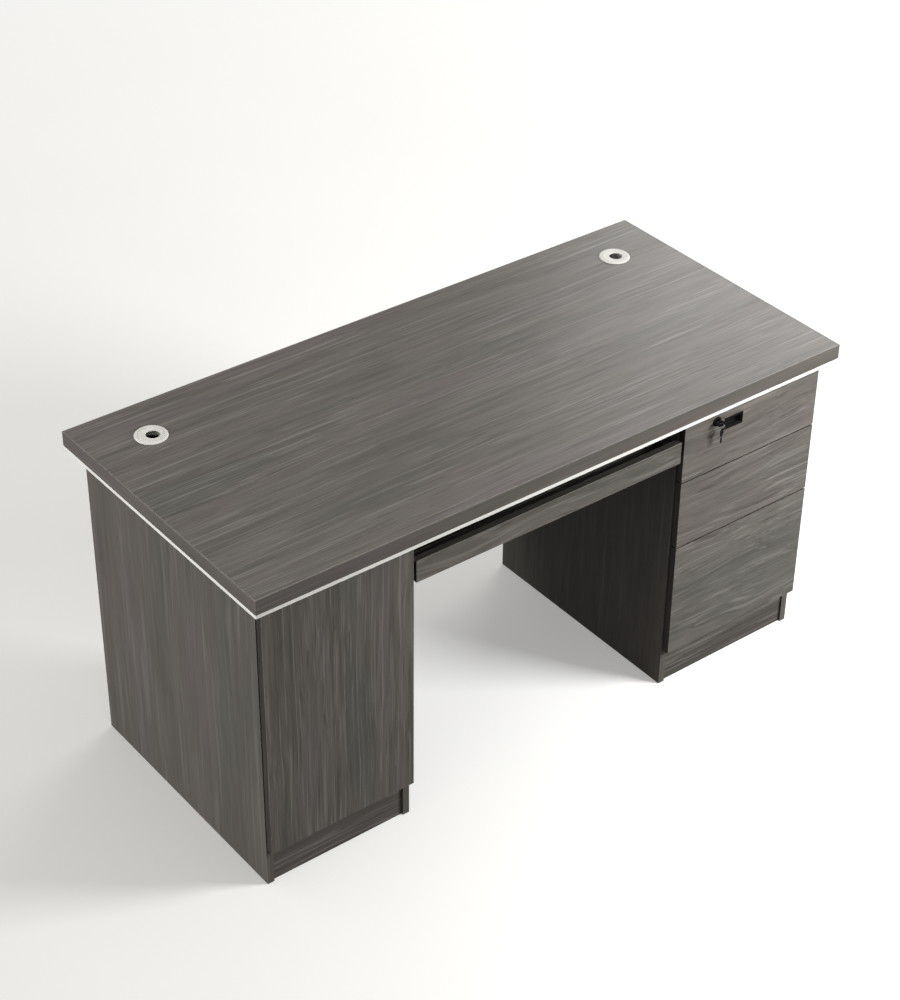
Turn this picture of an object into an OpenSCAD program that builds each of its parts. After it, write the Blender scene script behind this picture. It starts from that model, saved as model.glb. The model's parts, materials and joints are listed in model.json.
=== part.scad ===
// Writing desk with a cupboard pedestal, a drawer pedestal and a keyboard tray.
// Millimetres. Origin on the floor under the middle of the worktop, +X right, +Y to the rear, +Z up.

/* [Overall] */
// Width of the worktop
desk_w = 1500; // [1200:10:1900]
// Depth of the worktop
desk_d = 700; // [580:10:900]
// Height of the worktop's surface above the floor
desk_h = 760; // [630:5:950]

/* [Worktop] */
// Thickness of the main board
board_t = 18; // [15:1:25]
// Thickness of the battens that thicken the edge
batten_t = 16; // [12:1:25]
// Thickness of the white backing board, which shows as a strip below the edge
backing_t = 8; // [5:1:12]
// Width of a batten
batten_w = 60; // [40:5:70]
// Thickness of the edge bands
band_t = 2; // [1:0.5:3]

/* [Grommets] */
// Distance from the worktop's end to a grommet's centre
grommet_side = 136; // [110:1:180]
// Distance from the worktop's rear edge to a grommet's centre
grommet_rear = 120; // [105:1:130]
// Diameter of the bore in the worktop
grommet_bore = 60; // [50:1:66]
// Diameter of the flange that rests on the worktop
grommet_flange = 70; // [68:1:80]
// Height of the flange above the worktop
grommet_rise = 3; // [2:0.5:4]
// Diameter of the cable hole in the cap
cable_hole = 30; // [20:1:36]
// How far the cable hole sits off the cap's centre
cable_hole_off = 4; // [0:0.5:6]

/* [Carcass] */
// Thickness of the carcass panels
panel_t = 16; // [14:1:19]
// Overhang of the worktop past the outer sides
side_overhang = 25; // [5:1:60]
// Set-back of the panels' front edges from the worktop's front edge
front_set = 44; // [40:1:60]
// Set-back of the outer sides' rear edges from the worktop's rear edge
rear_set = 41; // [20:1:60]
// Space for cables behind the modesty panel
cable_space = 36; // [10:1:60]
// Space for cables between the modesty panel and a pedestal's back
back_set = 67; // [60:1:90]
// Thickness of the backs
back_t = 5; // [3:1:8]
// Width of the cupboard pedestal
left_w = 356; // [290:1:430]
// Width of the drawer pedestal
right_w = 394; // [320:1:480]
// Height of the plinths
plinth_h = 95; // [70:1:115]
// Set-back of the plinths from the panels' front edges
plinth_set = 5; // [0:1:20]
// Height of the modesty panel
modesty_h = 400; // [250:5:500]
// Height of the shelf's underside above the floor
shelf_z = 395; // [250:5:450]
// Side clearance of the shelf
shelf_gap = 0.5; // [0.3:0.1:2]

/* [Fronts] */
// Thickness of the door and of the drawer fronts
front_t = 16; // [15:1:19]
// Gap between a closed front and the panels' front edges
front_gap = 2.5; // [2:0.5:4]
// Distance from a pedestal's outer face to the edge of a front
front_reveal = 1.5; // [1:0.5:3]
// Extra clearance at both sides of the drawer fronts
drawer_reveal = 1.5; // [0:0.5:3]
// Gap between the worktop and the fronts
front_top_gap = 4; // [3:0.5:8]
// Height of the top drawer's front
drawer_1_h = 158; // [130:1:190]
// Height of the middle drawer's front
drawer_2_h = 167; // [135:1:200]
// Gap between drawer fronts
drawer_gap = 3; // [2:0.5:5]

/* [Drawers] */
// Thickness of the drawer sides and backs
drawer_side_t = 12; // [10:1:16]
// Thickness of the drawer bottoms
drawer_bottom_t = 5; // [3:1:6]
// Height of a drawer side above its front's lower edge
drawer_box_low = 24; // [22:1:30]
// Distance from a drawer side's top to its front's top
drawer_box_top = 26; // [24:1:40]
// Space behind a closed drawer
drawer_rear_gap = 45; // [20:1:60]
// Height of a bottom board's groove above the drawer side's lower edge
groove_z = 8; // [6:1:12]
// Depth of a bottom board's groove
groove_d = 5; // [3:1:6]

/* [Runners] */
// Width of a runner, from the panel to the drawer
runner_w = 12.7; // [12.7:0.1:14]
// Height of a drawer runner
drawer_runner_h = 45; // [35:1:46]
// Height of a tray runner
tray_runner_h = 35; // [27:1:40]
// Sheet thickness of the runner members
runner_sheet = 1.2; // [1:0.1:1.5]
// Clearance between runner members, above and below
runner_play = 0.6; // [0.4:0.1:1]
// Distance of a runner's front end behind the panels' front edges
runner_set = 2; // [1:1:10]

/* [Keyboard tray] */
// Gap between the worktop's underside and the lip
tray_gap = 55; // [45:1:90]
// Height of the lip
tray_lip_h = 52; // [44:1:70]
// Gap between the lip and the pedestals
tray_side_gap = 5; // [3:0.5:8]
// Height of the tray board above the lip's lower edge
tray_board_low = 9; // [8:1:14]
// Space between the closed tray and the modesty panel
tray_rear_gap = 205; // [100:5:260]

/* [Door hinges] */
// Distance from a hinge's centre to the door's end
hinge_end = 100; // [70:5:140]
// Diameter of a hinge cup
cup_d = 35; // [35:0.5:36]
// Depth of a hinge cup
cup_depth = 12; // [11:0.5:12.5]
// Distance from the door's edge to the hinge cup's edge
cup_edge = 4; // [3:0.5:5]

/* [Lock and pull] */
// Distance from the drawer front's edge to the lock's axis
lock_x = 90; // [60:1:110]
// Distance from the drawer front's top to the lock's axis
lock_z = 36; // [35:0.5:38]
// Diameter of the lock's barrel
lock_d = 19; // [16:0.5:20]
// Diameter of the plug
plug_d = 12; // [10:0.5:13]
// Length of the cam from the lock's axis
cam_l = 30; // [29:0.5:32]
// Distance from the lock's axis to the pull's centre
pull_x = 49; // [44:1:70]
// Distance from the lock's axis down to the pull's centre
pull_z = 16.5; // [10:0.5:30]
// Width of the pull's plate
pull_w = 53; // [45:1:60]
// Height of the pull's plate
pull_h = 29; // [24:1:36]
// Depth of the pull's pocket
pull_depth = 12; // [8:0.5:13]

/* [Hidden] */
$fn = 64;

WOOD = [0.36, 0.34, 0.33];
CORE = [0.62, 0.55, 0.45];
WHITE = [0.93, 0.93, 0.92];
STEEL = [0.72, 0.73, 0.75];
GREY = [0.75, 0.75, 0.76];
BLACK = [0.06, 0.06, 0.06];

// Fit between two pieces of one body, such as a screw in its bore
snug = 0.05;
// Overlap that lets a cut pass a face
eps = 0.1;

// Worktop
top_t = board_t + batten_t + backing_t;
top_x = desk_w / 2;
top_y = desk_d / 2;
z_under = desk_h - top_t;
z_board = desk_h - board_t;
z_batten = z_under + backing_t;
sleeve_wall = 2;
cap_t = 4;
cap_play = 0.4;

// Carcass planes
x_outer = top_x - side_overhang;
left_x0 = -x_outer;
left_x1 = left_x0 + left_w;
right_x1 = x_outer;
right_x0 = right_x1 - right_w;
y_front = -top_y + front_set;
y_outer_rear = top_y - rear_set;
y_inner_rear = y_outer_rear - cable_space - panel_t;
y_back = y_inner_rear - back_set;
z_floor_board = plinth_h;
z_top_board = z_under - panel_t;

// Fronts
y_front_back = y_front - front_gap;
y_face = y_front_back - front_t;
fronts_top = z_under - front_top_gap;
door_x0 = left_x0 + front_reveal;
door_x1 = left_x1 - front_reveal;
drawer_x0 = right_x0 + front_reveal + drawer_reveal;
drawer_x1 = right_x1 - front_reveal - drawer_reveal;

// Drawer boxes
bay_x0 = right_x0 + panel_t;
bay_x1 = right_x1 - panel_t;
box_x0 = bay_x0 + runner_w;
box_x1 = bay_x1 - runner_w;
box_mid = (box_x0 + box_x1) / 2;
box_rear = y_back - back_t - drawer_rear_gap;
runner_y0 = y_front + runner_set;
drawer_runner_l = box_rear - runner_set - runner_y0;

// Keyboard tray
tray_top = z_under - tray_gap;
tray_low = tray_top - tray_lip_h;
tray_board_z = tray_low + tray_board_low;
tray_x0 = left_x1 + runner_w;
tray_x1 = right_x0 - runner_w;
tray_rear = y_inner_rear - tray_rear_gap;
tray_runner_l = tray_rear - runner_set - runner_y0;

// Screws and fittings
worktop_screw_r = 2;
worktop_screw_head_r = 4;
worktop_screw_head_h = 3;
worktop_screw_short = 2;
worktop_screw_front = 106;
worktop_screw_rear = 40;
fitting_r = 7.5;
fitting_h = 12;
fitting_set = 24;
fitting_end = 60;
bolt_r = 3;
bolt_in_panel = 11;
shelf_pin_r = 2.5;
shelf_pin_in = 8;
shelf_pin_out = 9;
shelf_pin_end = 60;
shelf_set = 20;
shelf_rear_gap = 2;

// Door hinge, seen from above: distances from the outer face and from the panel's front edge
hinge_pivot = [5, -15];
arm_pivot = [28.2, -9];
link_bend = [14.4, -10.9];
link_end = [11.3, -7.2];
cup_wall = 1;
arm_half = 3;
link_half = 1.1;
link_bar_half = 0.9;
link_sheet = 1.5;
arm_pin_r = 1.5;
arm_pin_play = 0.08;
link_gap = 0.4;
link_eye = 0.7;
link_pin_short = 0.3;

// Lock, key and pull
lock_pos_x = drawer_x0 + lock_x;
lock_pos_z = fronts_top - lock_z;
collar_t = 1.8;
collar_r = lock_d / 2 + 1.5;
lock_back = 8.5;
plug_play = 0.3;
cam_t = 2;
cam_w = 12;
cam_slot_y = lock_back + cam_t / 2;
cam_slot_side = 5;
cam_slot_gap = 3;
cam_stub_r = 3;
cam_stub_l = 3;
cam_eye = 1;
cam_nut_r = 5.5;
cam_nut_t = 2.5;
plug_proud = 0.5;
keyway_over = 2;
key_gap = 0.9;
key_t = 3.2;
key_r = 11;
key_hole_r = 3;
key_hole_y = 10.7;
key_edge_y = 19.2;
blade_w = 6.6;
blade_t = 2;
ring_r = 8;
ring_wire = 0.7;
ring_y = 16.45;
ring_drop = 4.7;
spare_turn = 25;
spare_t = 2.2;
spare_r = 9;
spare_hole_drop = 15.5;
spare_hole_r = 4;
spare_drop = 18.8;
spare_tip_drop = 46;
spare_lap = 1;
pull_rim = 3;
pull_wall = 1;
pull_plate_t = 1.2;

// A block between two opposite corners
module block(lo, hi) {
    translate(lo) cube(hi - lo);
}

function drawer_h(n) = n == 1 ? drawer_1_h
    : n == 2 ? drawer_2_h
    : fronts_top - plinth_h - drawer_1_h - drawer_2_h - 2 * drawer_gap;
function drawer_z(n) = n == 1 ? fronts_top - drawer_1_h
    : n == 2 ? fronts_top - drawer_1_h - drawer_gap - drawer_2_h
    : plinth_h;
function side_low(n) = drawer_z(n) + drawer_box_low;
function side_top(n) = drawer_z(n) + drawer_h(n) - drawer_box_top;
function runner_z(n) = (side_low(n) + side_top(n)) / 2;

// ---------------------------------------------------------------- worktop

module at_grommet(side) {
    translate([side * (top_x - grommet_side), top_y - grommet_rear, 0]) children();
}

module grommet_bores() {
    for (side = [-1, 1])
        at_grommet(side)
            translate([0, 0, z_under - eps]) cylinder(d = grommet_bore, h = top_t + 2 * eps);
}

module at_worktop_screws() {
    for (x = [(left_x0 + left_x1) / 2, (right_x0 + right_x1) / 2])
        for (y = [y_front + worktop_screw_front, y_back - worktop_screw_rear])
            translate([x, y, z_top_board]) children();
}

module worktop_screw(play) {
    screw_l = panel_t + backing_t + batten_t - worktop_screw_short;
    cylinder(r = worktop_screw_r + play, h = screw_l + play);
    pass = play > 0 ? eps : 0;
    translate([0, 0, -pass])
        cylinder(r = worktop_screw_head_r + play, h = worktop_screw_head_h + play + pass);
}

module top_panel() {
    color(WOOD) difference() {
        block([-top_x + band_t, -top_y + band_t, z_board], [top_x - band_t, top_y - band_t, desk_h]);
        grommet_bores();
    }
}

module top_battens() {
    x = top_x - band_t;
    y = top_y - band_t;
    color(CORE) difference() {
        union() {
            for (side = [-1, 1]) {
                block([-x, side * (y - batten_w / 2) - batten_w / 2, z_batten],
                      [x, side * (y - batten_w / 2) + batten_w / 2, z_board]);
                block([side * (x - batten_w / 2) - batten_w / 2, -y + batten_w, z_batten],
                      [side * (x - batten_w / 2) + batten_w / 2, y - batten_w, z_board]);
            }
            for (mid = [(left_x0 + left_x1) / 2, (right_x0 + right_x1) / 2])
                block([mid - batten_w / 2, -y + batten_w, z_batten],
                      [mid + batten_w / 2, y - batten_w, z_board]);
        }
        at_worktop_screws() worktop_screw(snug);
        grommet_bores();
    }
}

module top_edge_bands() {
    color(WOOD) for (side = [-1, 1]) {
        block([-top_x, side * (top_y - band_t / 2) - band_t / 2, z_batten],
              [top_x, side * (top_y - band_t / 2) + band_t / 2, desk_h]);
        block([side * (top_x - band_t / 2) - band_t / 2, -top_y + band_t, z_batten],
              [side * (top_x - band_t / 2) + band_t / 2, top_y - band_t, desk_h]);
    }
}

module top_backing_board() {
    color(WHITE) difference() {
        block([-top_x, -top_y, z_under], [top_x, top_y, z_batten]);
        grommet_bores();
        at_worktop_screws() worktop_screw(snug);
    }
}

// Liner of a cable bore: flange, tube and the ledge that carries the cap
module grommet_sleeve(side) {
    outer = grommet_bore / 2 - snug;
    inner = outer - sleeve_wall;
    ledge_z = desk_h + grommet_rise - cap_t - cap_play;
    ledge = 2;
    edge_h = 1;
    slope = 2;
    color(GREY) at_grommet(side) rotate_extrude($fn = 96) polygon([
        [outer, z_under], [outer, desk_h + snug], [grommet_flange / 2, desk_h + snug],
        [grommet_flange / 2, desk_h + edge_h], [grommet_flange / 2 - slope, desk_h + grommet_rise],
        [inner, desk_h + grommet_rise], [inner, ledge_z], [inner - ledge, ledge_z],
        [inner - ledge, ledge_z - ledge], [inner, ledge_z - ledge], [inner, z_under]]);
}

// Dished cap with the off-centre cable hole
module grommet_cap(side) {
    cap_r = grommet_bore / 2 - snug - sleeve_wall - cap_play;
    z0 = desk_h + grommet_rise - cap_t;
    z1 = z0 + cap_t;
    chamfer = 0.6;
    rim_w = 2.5;
    dish = 1.6;
    bank = 1;
    color(GREY) at_grommet(side) difference() {
        rotate_extrude($fn = 96) polygon([
            [0, z0], [cap_r, z0], [cap_r, z1 - chamfer], [cap_r - chamfer, z1], [cap_r - rim_w, z1],
            [cable_hole / 2 + cable_hole_off + bank, z1 - dish], [0, z1 - dish]]);
        translate([cable_hole_off, 0, z0 - eps]) cylinder(d = cable_hole, h = cap_t + 2 * eps);
    }
}

// ---------------------------------------------------------------- carcass

// Cam fittings of one pedestal: origin on a side's inner face at the board's underside, +X into the board
module at_fittings(x0, x1) {
    for (z = [z_floor_board, z_top_board])
        for (y = [y_front + fitting_end, y_back - fitting_end]) {
            translate([x0 + panel_t, y, z]) children();
            translate([x1 - panel_t, y, z]) mirror([1, 0, 0]) children();
        }
}

module fitting() {
    translate([fitting_set, 0, 0]) cylinder(r = fitting_r, h = fitting_h);
    translate([-bolt_in_panel, 0, panel_t / 2]) rotate([0, 90, 0])
        cylinder(r = bolt_r, h = bolt_in_panel + fitting_set - fitting_r - 4 * snug);
}

module fitting_bores() {
    translate([fitting_set, 0, -eps]) cylinder(r = fitting_r + snug, h = fitting_h + snug + eps);
    translate([-bolt_in_panel - snug, 0, panel_t / 2]) rotate([0, 90, 0])
        cylinder(r = bolt_r + snug, h = bolt_in_panel + fitting_set);
}

module at_shelf_pins() {
    for (y = [y_front + shelf_pin_end, y_back - shelf_pin_end]) {
        translate([left_x0 + panel_t, y, shelf_z - shelf_pin_r]) rotate([0, 90, 0]) children();
        translate([left_x1 - panel_t, y, shelf_z - shelf_pin_r]) rotate([0, -90, 0]) children();
    }
}

module shelf_pin_bore() {
    translate([0, 0, -shelf_pin_in - snug])
        cylinder(r = shelf_pin_r + snug, h = shelf_pin_in + 2 * snug + eps);
}

// An upright side of a pedestal, bored for the cam bolts
module side_panel(x, rear, x0, x1) {
    difference() {
        block([x, y_front, 0], [x + panel_t, rear, z_under]);
        at_fittings(x0, x1) fitting_bores();
    }
}

module left_outer_side() {
    color(WOOD) difference() {
        side_panel(left_x0, y_outer_rear, left_x0, left_x1);
        at_shelf_pins() shelf_pin_bore();
    }
}

module left_inner_side() {
    color(WOOD) difference() {
        side_panel(left_x1 - panel_t, y_inner_rear, left_x0, left_x1);
        at_shelf_pins() shelf_pin_bore();
    }
}

module right_outer_side() {
    color(WOOD) side_panel(right_x1 - panel_t, y_outer_rear, right_x0, right_x1);
}

module right_inner_side() {
    color(WOOD) side_panel(right_x0, y_inner_rear, right_x0, right_x1);
}

// A board that lies between the two sides of a pedestal
module cross_board(x0, x1, z, rear) {
    block([x0 + panel_t, y_front, z], [x1 - panel_t, rear, z + panel_t]);
}

module left_bottom() {
    color(WOOD) difference() {
        cross_board(left_x0, left_x1, z_floor_board, y_back - back_t);
        at_fittings(left_x0, left_x1) fitting_bores();
    }
}

module right_bottom() {
    color(WOOD) difference() {
        cross_board(right_x0, right_x1, z_floor_board, y_back - back_t);
        at_fittings(right_x0, right_x1) fitting_bores();
    }
}

module left_top() {
    color(WOOD) difference() {
        cross_board(left_x0, left_x1, z_top_board, y_back - back_t);
        at_fittings(left_x0, left_x1) fitting_bores();
        at_worktop_screws() worktop_screw(snug);
    }
}

// The top board of the drawer pedestal has the slot that the lock's cam turns up into
module right_top() {
    slot_w = 2 * (cam_w + cam_slot_side);
    slot_d = cam_t + 2 * cam_slot_gap;
    slot_y = y_front_back + cam_slot_y;
    cam_reach = lock_pos_z + cam_l - z_top_board;
    color(WOOD) difference() {
        cross_board(right_x0, right_x1, z_top_board, y_back - back_t);
        at_fittings(right_x0, right_x1) fitting_bores();
        at_worktop_screws() worktop_screw(snug);
        block([lock_pos_x - slot_w / 2 - cam_l / 2, slot_y - slot_d / 2, z_top_board - eps],
              [lock_pos_x + slot_w / 2, slot_y + slot_d / 2, z_top_board + cam_reach + cam_slot_gap]);
    }
}

module pedestal_back(x0, x1) {
    block([x0 + panel_t, y_back - back_t, z_floor_board], [x1 - panel_t, y_back, z_under]);
}

module left_back() { color(WHITE) pedestal_back(left_x0, left_x1); }

module right_back() { color(WHITE) pedestal_back(right_x0, right_x1); }

module plinth(x0, x1) {
    block([x0 + panel_t, y_front + plinth_set, 0], [x1 - panel_t, y_front + plinth_set + panel_t, plinth_h]);
}

module left_plinth() { color(WOOD) plinth(left_x0, left_x1); }

module right_plinth() { color(WOOD) plinth(right_x0, right_x1); }

module left_shelf() {
    color(WOOD)
        block([left_x0 + panel_t + shelf_gap, y_front + shelf_set, shelf_z],
              [left_x1 - panel_t - shelf_gap, y_back - back_t - shelf_rear_gap, shelf_z + panel_t]);
}

module shelf_pins() {
    color(STEEL) at_shelf_pins()
        translate([0, 0, -shelf_pin_in]) cylinder(r = shelf_pin_r, h = shelf_pin_in + shelf_pin_out);
}

module modesty_panel() {
    color(WOOD)
        block([left_x0 + panel_t, y_inner_rear, z_under - modesty_h],
              [right_x1 - panel_t, y_inner_rear + panel_t, z_under]);
}

module cam_fittings() {
    color(STEEL) {
        at_fittings(left_x0, left_x1) fitting();
        at_fittings(right_x0, right_x1) fitting();
    }
}

module worktop_screws() {
    color(STEEL) at_worktop_screws() worktop_screw(0);
}

// ---------------------------------------------------------------- door and hinges

// Hinge frame: origin on the outer side's front outer corner, at a hinge's height
module at_hinges() {
    for (z = [plinth_h + hinge_end, fronts_top - hinge_end])
        translate([left_x0, y_front, z]) children();
}

module cup_place() {
    translate([front_reveal + cup_edge + cup_d / 2, -front_gap, 0]) rotate([90, 0, 0]) children();
}

module door() {
    color(WOOD) difference() {
        block([door_x0, y_face, plinth_h], [door_x1, y_front_back, fronts_top]);
        at_hinges() cup_place()
            translate([0, 0, -eps]) cylinder(d = cup_d, h = cup_depth + eps);
    }
}

// Steel cup with its flange on the door's back face
module hinge_cups() {
    wing = 26;
    wing_half = 8;
    color(STEEL) at_hinges() cup_place() difference() {
        union() {
            cylinder(r = cup_d / 2 - snug, h = cup_depth - snug);
            translate([0, 0, -cup_wall]) cylinder(d = cup_d, h = cup_wall);
            translate([-wing_half, -wing, -cup_wall]) cube([2 * wing_half, 2 * wing, cup_wall]);
        }
        translate([0, 0, -cup_wall - eps]) cylinder(r = cup_d / 2 - cup_wall, h = cup_depth + eps);
    }
}

// Mounting plate and arm on the outer side's inner face
module hinge_arms() {
    plate_front = 30;
    plate_rear = 64;
    plate_half = 22;
    arm_low = panel_t + 3;
    arm_high = panel_t + 10;
    arm_front = 26;
    arm_rear = 74;
    knuckle_r = 2.8;
    neck_near = 13;
    neck_far = 17;
    color(STEEL) at_hinges() {
        block([panel_t, plate_front, -plate_half], [arm_low, plate_rear, plate_half]);
        difference() {
            translate([0, 0, -arm_half]) linear_extrude(2 * arm_half) union() {
                translate(arm_pivot) circle(r = knuckle_r);
                polygon([arm_pivot + [-knuckle_r, 0], arm_pivot + [knuckle_r, 0],
                         arm_pivot + [knuckle_r, neck_far], [arm_high, plate_front],
                         [arm_high, arm_rear], [arm_low, arm_rear],
                         [arm_low, arm_front], arm_pivot + [-knuckle_r, neck_near]]);
            }
            translate([arm_pivot.x, arm_pivot.y, -arm_half - eps])
                cylinder(r = arm_pin_r + arm_pin_play, h = 2 * arm_half + 2 * eps);
        }
    }
}

// Two bent plates, joined by the pin in the arm and by a pin at the cup end
module hinge_links() {
    inner = arm_half + link_gap;
    half_w = inner + link_sheet;
    color(STEEL) at_hinges() {
        for (side = [0, 1]) mirror([0, 0, side])
            translate([0, 0, inner]) linear_extrude(link_sheet) union() {
                translate(arm_pivot) circle(r = arm_pin_r + link_eye);
                translate(link_bend) circle(r = link_half);
                translate(link_end) circle(r = link_half);
                link_bar(arm_pivot, link_bend);
                link_bar(link_bend, link_end);
            }
        link_pin(arm_pivot, arm_pin_r, half_w - link_pin_short);
        link_pin(link_end, link_half - link_pin_short, half_w - link_pin_short);
    }
}

module link_pin(at, r, half_l) {
    translate([at.x, at.y, -half_l]) cylinder(r = r, h = 2 * half_l);
}

module link_bar(a, b) {
    d = b - a;
    translate(a) rotate(atan2(d.y, d.x))
        translate([0, -link_bar_half]) square([norm(d), 2 * link_bar_half]);
}

// ---------------------------------------------------------------- drawers

module drawer_front(n) {
    color(WOOD) difference() {
        block([drawer_x0, y_face, drawer_z(n)], [drawer_x1, y_front_back, drawer_z(n) + drawer_h(n)]);
        if (n == 1) {
            translate([lock_pos_x, y_face - eps, lock_pos_z]) rotate([-90, 0, 0])
                cylinder(d = lock_d + 2 * snug, h = front_t + 2 * eps);
            pull_block(snug, pull_depth + snug, eps);
        }
    }
}

module drawer_sides(n) {
    color(CORE) for (side = [0, 1])
        translate([box_mid, 0, 0]) mirror([side, 0, 0]) translate([-box_mid, 0, 0])
            difference() {
                block([box_x0, y_front_back, side_low(n)], [box_x0 + drawer_side_t, box_rear, side_top(n)]);
                block([box_x0 + drawer_side_t - groove_d, y_front_back - eps, side_low(n) + groove_z],
                      [box_x0 + drawer_side_t + eps, box_rear + eps,
                       side_low(n) + groove_z + drawer_bottom_t]);
            }
}

module drawer_back(n) {
    color(CORE)
        block([box_x0 + drawer_side_t, box_rear - drawer_side_t, side_low(n) + groove_z + drawer_bottom_t],
              [box_x1 - drawer_side_t, box_rear, side_top(n)]);
}

module drawer_bottom(n) {
    reach = groove_d - 4 * snug - drawer_side_t;
    color(WHITE)
        block([box_x0 - reach, y_front_back, side_low(n) + groove_z],
              [box_x1 + reach, box_rear, side_low(n) + groove_z + drawer_bottom_t]);
}

// ---------------------------------------------------------------- runners

// Runner members, from the panel's face at x = 0 to the moving piece at x = runner_w.
// Each is a channel: a web and two flanges that lie inside those of the member before.
mid_half_offset = runner_sheet + runner_play;
inner_half_offset = 2 * mid_half_offset;
outer_flange_short = 2.7;
mid_flange_near = 3.5;
mid_flange_far = 4.7;
inner_flange = 4.6;

module channel(web_x, flange_x0, flange_x1, half, y, l) {
    block([web_x, y, -half], [web_x + runner_sheet, y + l, half]);
    for (side = [0, 1]) mirror([0, 0, side])
        block([flange_x0, y, half - runner_sheet], [flange_x1, y + l, half]);
}

module runner_outer(h, l) {
    channel(0, 0, runner_w - outer_flange_short, h / 2, runner_y0, l);
}

module runner_mid(h, l) {
    web = (runner_w - runner_sheet) / 2;
    channel(web, web - mid_flange_near, web + mid_flange_far, h / 2 - mid_half_offset, runner_y0, l);
}

module runner_inner(h, l) {
    channel(runner_w - runner_sheet, runner_w - inner_flange, runner_w,
            h / 2 - inner_half_offset, runner_y0, l);
}

// One runner on each side of a bay
module runner_pair(x0, x1, z) {
    translate([x0, 0, z]) children();
    translate([x1, 0, z]) mirror([1, 0, 0]) children();
}

module drawer_runner_outers() {
    color(STEEL) for (n = [1:3])
        runner_pair(bay_x0, bay_x1, runner_z(n)) runner_outer(drawer_runner_h, drawer_runner_l);
}

module drawer_runner_mids(n) {
    color(STEEL) runner_pair(bay_x0, bay_x1, runner_z(n)) runner_mid(drawer_runner_h, drawer_runner_l);
}

module drawer_runner_inners(n) {
    color(STEEL) runner_pair(bay_x0, bay_x1, runner_z(n)) runner_inner(drawer_runner_h, drawer_runner_l);
}

// ---------------------------------------------------------------- keyboard tray

module tray_board() {
    color(WOOD)
        block([tray_x0, y_front_back, tray_board_z], [tray_x1, tray_rear, tray_board_z + panel_t]);
}

module tray_lip() {
    color(WOOD)
        block([left_x1 + tray_side_gap, y_face, tray_low], [right_x0 - tray_side_gap, y_front_back, tray_top]);
}

module tray_runner_outers() {
    color(STEEL) runner_pair(left_x1, right_x0, tray_board_z + panel_t / 2)
        runner_outer(tray_runner_h, tray_runner_l);
}

module tray_runner_mids() {
    color(STEEL) runner_pair(left_x1, right_x0, tray_board_z + panel_t / 2)
        runner_mid(tray_runner_h, tray_runner_l);
}

module tray_runner_inners() {
    color(STEEL) runner_pair(left_x1, right_x0, tray_board_z + panel_t / 2)
        runner_inner(tray_runner_h, tray_runner_l);
}

// ---------------------------------------------------------------- lock, keys and pull

// Lock frame: origin on the drawer's face at the lock's axis, +Z of the children pointing to the rear
module at_lock() {
    translate([lock_pos_x, y_face, lock_pos_z]) children();
}

module along_y(from, to, r) {
    translate([0, from, 0]) rotate([-90, 0, 0]) cylinder(r = r, h = to - from);
}

module lock_body() {
    back = front_t + lock_back;
    color(BLACK) at_lock() difference() {
        union() {
            along_y(0, back, lock_d / 2);
            along_y(-collar_t, 0, collar_r);
        }
        along_y(-collar_t - eps, back + eps, plug_d / 2 + plug_play);
    }
}

// Plug with its keyway, and the stub that carries the cam
module lock_plug() {
    back = front_t + lock_back;
    color(STEEL) at_lock() difference() {
        union() {
            along_y(-collar_t - plug_proud, back, plug_d / 2);
            along_y(back - eps, back + cam_t + cam_stub_l, cam_stub_r);
        }
        block([-blade_w / 2 - snug, -collar_t - 2 * plug_proud, -blade_t / 2 - snug],
              [blade_w / 2 + snug, front_t + keyway_over, blade_t / 2 + snug]);
    }
}

module lock_cam() {
    back = front_t + lock_back;
    color(STEEL) at_lock() {
        difference() {
            union() {
                along_y(back, back + cam_t, cam_w / 2 + cam_eye);
                block([-cam_l, back, -cam_w / 2], [0, back + cam_t, cam_w / 2]);
            }
            along_y(back - eps, back + cam_t + eps, cam_stub_r + snug);
        }
        difference() {
            translate([0, back + cam_t, 0]) rotate([-90, 0, 0])
                cylinder(r = cam_nut_r, h = cam_nut_t, $fn = 6);
            along_y(back, back + cam_t + cam_stub_l, cam_stub_r + snug);
        }
    }
}

module key() {
    color(BLACK) at_lock()
        translate([0, 0, -key_t / 2]) linear_extrude(key_t) difference() {
            intersection() {
                translate([0, -key_hole_y]) circle(r = key_r);
                translate([-key_r, -key_edge_y])
                    square([2 * key_r, key_edge_y - collar_t - key_gap]);
            }
            translate([0, -key_hole_y]) circle(r = key_hole_r);
        }
    color(STEEL) at_lock()
        block([-blade_w / 2, -collar_t - key_gap, -blade_t / 2], [blade_w / 2, front_t, blade_t / 2]);
}

module key_ring() {
    color(STEEL) at_lock() translate([0, -ring_y, -ring_drop]) rotate([0, 90, 0])
        rotate_extrude($fn = 64) translate([ring_r, 0]) circle(r = ring_wire, $fn = 24);
}

// Spare key, hanging from the ring and turned about the vertical
module spare_key() {
    color(BLACK) at_lock() translate([0, -ring_y, 0]) rotate([0, 0, spare_turn]) {
        translate([0, spare_t / 2, 0]) rotate([90, 0, 0]) linear_extrude(spare_t) difference() {
            translate([0, -spare_drop]) circle(r = spare_r);
            translate([0, -spare_hole_drop]) circle(r = spare_hole_r);
        }
        block([-blade_w / 2, -blade_t / 2, -spare_tip_drop],
              [blade_w / 2, blade_t / 2, -spare_drop - spare_r + spare_lap]);
    }
}

// Pocket block of the pull, grown by a clearance, from a depth to a distance in front of the face
module pull_block(play, depth, proud) {
    x = lock_pos_x + pull_x;
    z = lock_pos_z - pull_z;
    half_w = pull_w / 2 - pull_rim + play;
    half_h = pull_h / 2 - pull_rim + play;
    block([x - half_w, y_face - proud, z - half_h], [x + half_w, y_face + depth, z + half_h]);
}

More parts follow.
